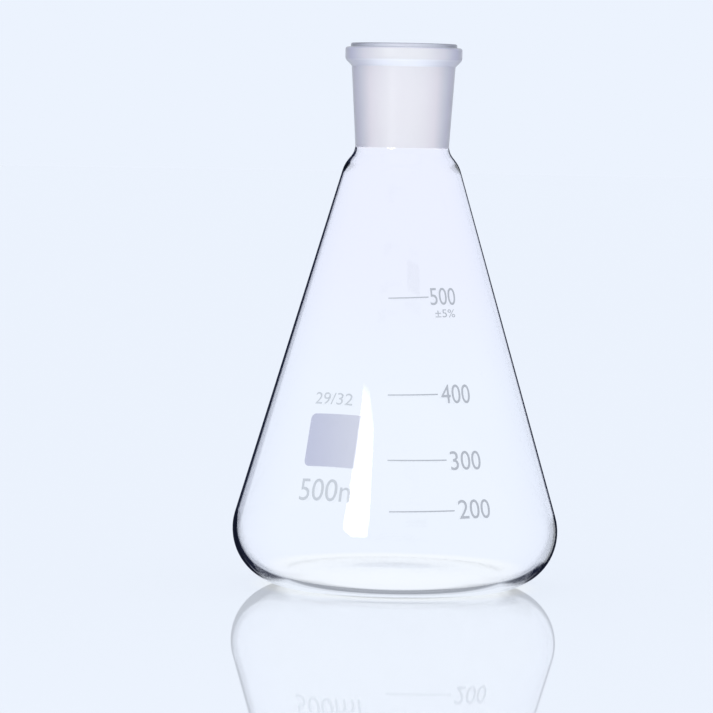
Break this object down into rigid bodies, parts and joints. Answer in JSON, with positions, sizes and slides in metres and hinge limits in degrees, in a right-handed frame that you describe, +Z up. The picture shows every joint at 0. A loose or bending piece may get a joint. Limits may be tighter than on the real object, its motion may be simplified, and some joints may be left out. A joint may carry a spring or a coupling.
{
  "type": "conical laboratory flask",
  "caption": "Conical glass laboratory flask with a flat bottom, straight flared flank and a beaded neck ground inside as a tapered socket.",
  "frame": {"origin": "on the flask's axis, in the plane that its foot rests on", "axes": "+Z up along the axis to the mouth, -Y towards the side that carries the graduation"},
  "size_m": [0.105, 0.105, 0.175],
  "materials": {
    "glass": "clear, fire-polished; ground matt inside the neck",
    "enamel": "fired grey-white enamel print"
  },
  "bodies": {
    "root": {"flask": "glass"}
  },
  "joints": []
}
